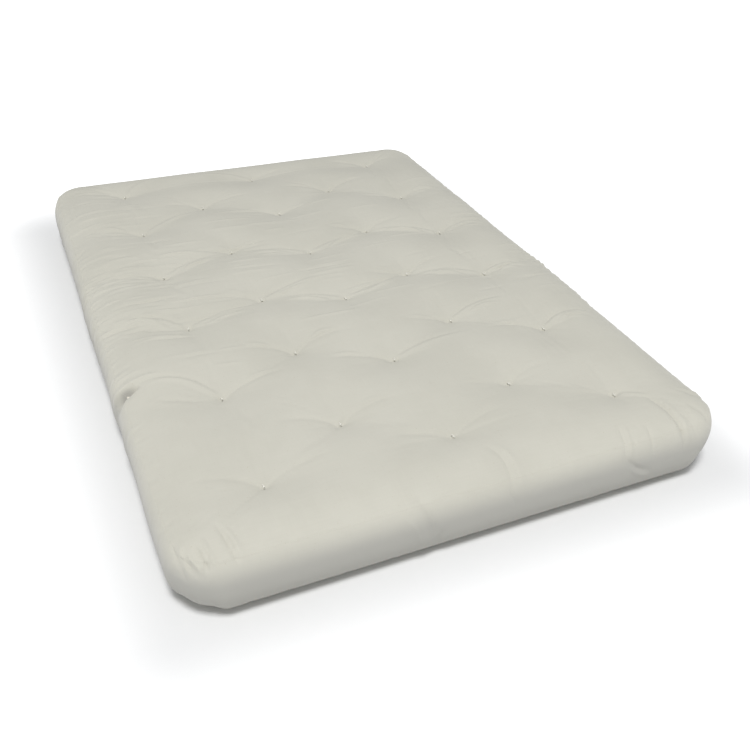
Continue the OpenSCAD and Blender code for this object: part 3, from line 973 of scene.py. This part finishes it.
def addLayer(name, lowZ, highZ, material, slot, fill, topSheet=None, lowSheet=None):
    # a closed slab: its underside, two rounding rows up its edge, and its top
    tall = highZ - lowZ
    middle = (lowZ + highZ) / 2
    countY, countX = layerSquareX.shape
    sheets = []
    ends, rounded = 0.3 * tall, filling["round"]
    for z, inset in ((lowZ, rounded), (lowZ + ends, 0.0), (highZ - ends, 0.0), (highZ, rounded)):
        edge = filling["clearance"] + max(coverInset(lowZ), coverInset(highZ), coverInset(z)) + inset
        x, y = shrunkPlan(edge)
        fluff = filling["lint"] * lintChance.uniform(-1, 0, x.shape) * (1 if z > middle else -1)
        sheets.append(np.stack([x, y, np.full_like(x, z) + fluff * (abs(z - middle) > 0.4 * tall)], -1))
    if topSheet is not None:
        sheets[3] = topSheet
        sheets[2][..., 2] = np.minimum(sheets[2][..., 2], topSheet[..., 2] - 0.002)
    if lowSheet is not None:
        sheets[0] = lowSheet
    size = countY * countX
    loop = rimOf(np.arange(size).reshape(countY, countX))
    ring = 2 * size + np.arange(len(loop))
    points = [sheets[0].reshape(-1, 3), sheets[3].reshape(-1, 3)]
    points += [sheets[k].reshape(-1, 3)[loop] for k in (1, 2)]
    chain = [loop, ring, ring + len(loop), size + loop]
    faces = [gridFaces(countY, countX, flip=True), gridFaces(countY, countX, first=size)]
    for a, b in zip(chain, chain[1:]):
        faces.append(np.stack([a, np.roll(a, -1), np.roll(b, -1), b], 1))
    points = pinch(np.vstack(points), filling["pinchSpread"])
    piece = newPiece(name, points, np.vstack(faces).tolist(), material, slot, halves(name))
    foldWith(piece)


underTop = filling["underTop"]
underX, underY = shrunkPlan(filling["clearance"] + bulge + underTop)
atX, atY = np.searchsorted(placesX, layerX), np.searchsorted(placesY, layerY)
lowest = np.empty(underX.shape)          # the lowest cover within one step of each point of the layer
for j in range(len(layerY)):
    for i in range(len(layerX)):
        near = topFine[atY[max(j - 1, 0)]:atY[min(j + 1, len(layerY) - 1)] + 1,
                       atX[max(i - 1, 0)]:atX[min(i + 1, len(layerX) - 1)] + 1, 2]
        lowest[j, i] = near.min()
battTop = np.stack([underX, underY, lowest - underTop], -1)
lowX, lowY = shrunkPlan(mattress["baseRoll"] + underTop)
pull = roundTufts(lowX, lowY, filling["pitReach"], filling["pitReach"], 2)
battLow = np.stack([lowX, lowY, filling["overFloor"] + filling["pit"] * pull], -1)
for name in ("batt_1", "batt_2", "foam_lower", "batt_3", "batt_4", "foam_upper", "batt_5", "batt_6"):
    low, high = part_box(f"seat_{name}")
    lowZ, highZ = low[2] + filling["gap"] / 2, high[2] - filling["gap"] / 2
    stuff = (foamCells, "foam", 1.0) if name.startswith("foam") else (battFibre, "batting", 0.85)
    addLayer(name, lowZ, topSeamLow if name == "batt_6" else highZ, *stuff,
             battTop if name == "batt_6" else None, battLow if name == "batt_1" else None)
print("filling made")

# the two seams: stitches laid along their rings by geometry nodes
stitching = {
    "Stitch length": 0.0036,
    "Thickness": 0.0007,
    "Pitch": 0.0052,
    "Wander": 0.06,
}
seamLift = 0.0001            # how far the middle of a stitch lies off the cloth


def stitchTree():
    # beads along the curve, each turned along it and wandering a little
    tree = bpy.data.node_groups.new("stitchRow", "GeometryNodeTree")
    add = tree.interface.new_socket
    add("Geometry", in_out="OUTPUT", socket_type="NodeSocketGeometry")
    add("Geometry", in_out="INPUT", socket_type="NodeSocketGeometry")
    for name in stitching:
        add(name, in_out="INPUT", socket_type="NodeSocketFloat")
    add("Seed", in_out="INPUT", socket_type="NodeSocketInt")
    add("Material", in_out="INPUT", socket_type="NodeSocketMaterial")
    given = {socket.name: Socket(tree, socket) for socket in tree.nodes.new("NodeGroupInput").outputs}
    out = given["Geometry"].out
    line = out("GeometryNodeResampleCurve", {"mode": "LENGTH"},
               {"Curve": given["Geometry"], "Length": given["Pitch"]})
    tangent = out("GeometryNodeInputTangent", {}, {})
    along = out("FunctionNodeAlignRotationToVector", {"axis": "Z"}, {"Vector": tangent})
    wander = out("FunctionNodeRandomValue", {"data_type": "FLOAT_VECTOR"},
                 {"Min": (-1, -1, -1), "Max": (1, 1, 1), "Seed": given["Seed"]})
    wander = out("ShaderNodeVectorMath", {"operation": "SCALE"}, {0: wander, "Scale": given["Wander"]})
    wander = out("FunctionNodeEulerToRotation", {}, {0: wander})
    turned = out("FunctionNodeRotateRotation", {"rotation_space": "LOCAL"}, {0: along, 1: wander})
    bead = out("GeometryNodeMeshUVSphere", {}, {"Segments": 6, "Rings": 5, "Radius": 0.5})
    thickness = given["Thickness"]
    size = out("ShaderNodeCombineXYZ", {}, {0: thickness, 1: thickness, 2: given["Stitch length"]})
    stitch = out("GeometryNodeTransform", {}, {"Geometry": bead, "Scale": size})
    laid = out("GeometryNodeInstanceOnPoints", {}, {"Points": line, "Instance": stitch, "Rotation": turned})
    real = out("GeometryNodeRealizeInstances", {}, {"Geometry": laid})
    painted = out("GeometryNodeSetMaterial", {}, {"Geometry": real, "Material": given["Material"]})
    tree.links.new(painted.socket, tree.nodes.new("NodeGroupOutput").inputs["Geometry"])
    return tree


stitchRow = stitchTree()
inputNames = {item.name: item.identifier for item in stitchRow.interface.items_tree
              if item.in_out == "INPUT"}


def sewSeam(name, path, seed):
    curve = bpy.data.curves.new(name + "_path", "CURVE")
    curve.dimensions = "3D"
    spline = curve.splines.new("POLY")
    spline.points.add(len(path) - 1)
    spline.points.foreach_set("co", np.c_[path, np.ones(len(path))].ravel())
    spline.use_cyclic_u = True
    guide = newObject(name + "_path", curve)
    row = guide.modifiers.new("stitches", "NODES")
    row.node_group = stitchRow
    for key, value in {**stitching, "Seed": seed, "Material": seamThread}.items():
        row[inputNames[key]] = value
    evaluated = guide.evaluated_get(bpy.context.evaluated_depsgraph_get())
    mesh = bpy.data.meshes.new_from_object(evaluated)
    mesh.name = name
    bpy.data.objects.remove(guide)
    piece = newObject(name, mesh)
    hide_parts(*halves(name))
    foldWith(piece)


sewSeam("top_seam", borderFine[0] + seamNormals * seamLift, 3)
sewSeam("bottom_seam", borderFine[-1] + borderNormals[-1] * seamLift, 4)
print("seams sewn")

# the tufts: doubled twine through the whole mattress, knotted on top with two cut ends
tuftTwines = {
    "ply": 0.0010,           # radius of one ply, two of them twisted together
    "twist": 0.0090,         # length of one full turn
    "stitchZ": 0.0100,       # height of the stitch under the mattress, then its half length, ply and twist
    "stitchHalf": 0.0042,
    "stitchPly": 0.0009,
    "stitchTwist": 0.0060,
    "knot": 0.0017,
    "knotPly": 0.00085,
    "knotWaist": 0.45,       # how far its loops draw in between, and how tight it is pulled
    "knotTight": 0.78,
    "knotRise": 0.0024,      # of its middle, over the cloth
    "knotWave": 0.0013,
    "knotSteps": 48,
    "tail": 0.0070,
    "tailSplay": 0.0011,
    "strand": 0.0006,        # radius of each of the three strands of a tail
    "strandTwist": 0.0050,
    "lean": 62.0,
    "sides": 7,
}


def tube(path, radius, sides, tapered=False):
    # a closed tube along a list of points, with round ends
    path = np.asarray(path, float)
    tangent = np.gradient(path, axis=0)
    tangent /= np.linalg.norm(tangent, axis=1, keepdims=True)
    normal = np.cross(tangent[0], (0.3, 0.9, 0.2))
    points, faces = [], []
    count = len(path)
    for k in range(count):
        normal = normal - tangent[k] * np.dot(normal, tangent[k])
        normal /= np.linalg.norm(normal)
        side = np.cross(tangent[k], normal)
        size = radius * (0.55 if k in (0, count - 1) else 1.0)
        size *= 1 - 0.35 * k / count if tapered else 1.0
        for a in range(sides):
            turn = 2 * math.pi * a / sides
            points.append(path[k] + size * (math.cos(turn) * normal + math.sin(turn) * side))
    for k in range(count - 1):
        for a in range(sides):
            b = (a + 1) % sides
            faces.append((k * sides + a, k * sides + b, (k + 1) * sides + b, (k + 1) * sides + a))
    faces.append(tuple(range(sides))[::-1])
    faces.append(tuple(range((count - 1) * sides, count * sides)))
    return points, faces


def twisted(start, end, ply, twist, strands, rng, splay=0.0):
    # strands wound round the straight line from start to end, spreading near the far end
    start, end = Vector(start), Vector(end)
    axis = end - start
    length = axis.length
    axis.normalize()
    side = axis.orthogonal().normalized()
    other = axis.cross(side)
    steps = max(6, int(length / twist * 12))
    phase = rng.uniform(0, 2 * math.pi)
    touching = ply * (0.95 if strands == 2 else 1.15)
    for strand in range(strands):
        path = []
        for k in range(steps + 1):
            t = k / steps
            turn = phase + 2 * math.pi * (strand / strands + t * length / twist)
            apart = touching + splay * t ** 3
            outward = side * math.cos(turn) + other * math.sin(turn)
            path.append(start + axis * (t * length) + outward * apart)
        yield path


def makeTuft(row, column):
    # the twine up through the mattress, its stitch underneath, the knot on top and two cut ends
    tx, ty = tufts[row, column]
    rng = random.Random(100 * row + column)
    name = f"tuft_{row}_{column}"
    i = int(np.argmin(abs(squareFine[0, :, 0] - tx)))
    j = int(np.argmin(abs(squareFine[:, 0, 1] - ty)))
    knotZ = float(topFine[j, i, 2]) + tuftTwines["knotRise"]
    points, faces = [], []

    def add(path, radius, tapered=False):
        more, loops = tube(path, radius, tuftTwines["sides"], tapered)
        first = len(points)
        points.extend(more)
        faces.extend([tuple(first + k for k in loop) for loop in loops])

    low, ply = tuftTwines["stitchZ"], tuftTwines["ply"]
    for path in twisted((tx, ty, low), (tx, ty, knotZ - 0.001), ply, tuftTwines["twist"], 2, rng):
        add(path, ply)
    half, ply = tuftTwines["stitchHalf"], tuftTwines["stitchPly"]
    start, end = (tx, ty - half, low + 0.0004), (tx, ty + half, low + 0.0004)
    for path in twisted(start, end, ply, tuftTwines["stitchTwist"], 2, rng):
        add(path, ply)
    phase = rng.uniform(0, 2 * math.pi)
    knot = []
    for k in range(tuftTwines["knotSteps"] + 1):
        t = 2 * math.pi * k / tuftTwines["knotSteps"]
        reach = tuftTwines["knot"] * (1 + tuftTwines["knotWaist"] * math.cos(3 * t))
        reach *= tuftTwines["knotTight"]
        knot.append((tx + reach * math.cos(2 * t + phase), ty + reach * math.sin(2 * t + phase),
                     knotZ + tuftTwines["knotWave"] * math.sin(3 * t)))
    add(knot, tuftTwines["knotPly"])
    ply = tuftTwines["strand"]
    for side in (-1, 1):
        lean = math.radians(tuftTwines["lean"] + rng.uniform(-8, 6))
        swing = rng.uniform(-0.35, 0.35)
        length = tuftTwines["tail"] * rng.uniform(0.85, 1.0)
        tip = (tx + length * math.sin(lean) * math.sin(swing),
               ty + side * length * math.sin(lean) * math.cos(swing), knotZ + length * math.cos(lean))
        for path in twisted((tx, ty + side * 0.001, knotZ), tip, ply, tuftTwines["strandTwist"], 3, rng,
                            tuftTwines["tailSplay"]):
            add(path, ply, True)
    foldWith(newPiece(name + "_twine", points, faces, tuftTwine, "tuft_twine", [name]))


for row, column in tufts:
    makeTuft(row, column)
print("tufts tied")

# stage, light and camera
studio = {
    "floor": (0.80, 0.80, 0.80, 1),
    "floorSize": 60,
    "sky": 0.42,
    "skyTint": (0.96, 0.98, 1.0, 1),
    "key": 535.0,
    "keyPlace": (-1.5, -3.0, 8.2),
    "keyAim": (0, 0, 0.1),
    "keySize": 2.0,
    "floorGlow": 0.60,       # added away from the mattress, none beside it
    "glowBand": (0.0, 0.40),     # metres from its outline
}
bpy.ops.mesh.primitive_plane_add(size=studio["floorSize"], location=(0, 0, -0.0004))
floor = bpy.context.object
floor.name = "floor"
floorPaint, place, shader = newMaterial("paleFloor", Roughness=0.9, Specular_IOR_Level=0.1,
                                        Base_Color=studio["floor"], Emission_Strength=studio["floorGlow"])
apart = place.vector("ABSOLUTE").vector("SUBTRACT", (halfW, halfL, 0)).vector("MAXIMUM")
plug(shader, Emission_Color=apart.length().band(*studio["glowBand"]).mixed((0, 0, 0, 1), (1, 1, 1, 1)))
floor.data.materials.append(floorPaint)

world = bpy.data.worlds.new("studioSky")
bpy.context.scene.world = world
world.use_nodes = True
sky = world.node_tree.nodes["Background"].inputs
sky["Color"].default_value = studio["skyTint"]
sky["Strength"].default_value = studio["sky"]

lamp = bpy.data.lights.new("keyLamp", "AREA")
lamp.size = studio["keySize"]
lamp.energy = studio["key"]
holder = newObject("keyLamp", lamp)
holder.location = studio["keyPlace"]
aim = Vector(studio["keyAim"]) - Vector(studio["keyPlace"])
holder.rotation_euler = aim.to_track_quat("-Z", "Y").to_euler()
bpy.context.scene.view_settings.view_transform = "Standard"

view = {
    "azimuth": -25.45,
    "elevation": 35.49,
    "roll": 2.85,
    "place": (-0.831, -2.088, 1.438),
    "lens": 41.184,
    "sensor": 36,
}
azimuth, elevation, roll = (math.radians(view[k]) for k in ("azimuth", "elevation", "roll"))
level = math.cos(elevation)
forward = Vector((-math.sin(azimuth) * level, math.cos(azimuth) * level, -math.sin(elevation)))
right = forward.cross(Vector((0, 0, 1))).normalized()
up = right.cross(forward)
right, up = right * math.cos(roll) + up * math.sin(roll), up * math.cos(roll) - right * math.sin(roll)
lens = bpy.data.cameras.new("camera")
lens.sensor_width = view["sensor"]
lens.lens = view["lens"]
camera = newObject("camera", lens)
camera.matrix_world = Matrix((right, up, -forward)).transposed().to_4x4()
camera.location = view["place"]
bpy.context.scene.camera = camera
print("stage set")
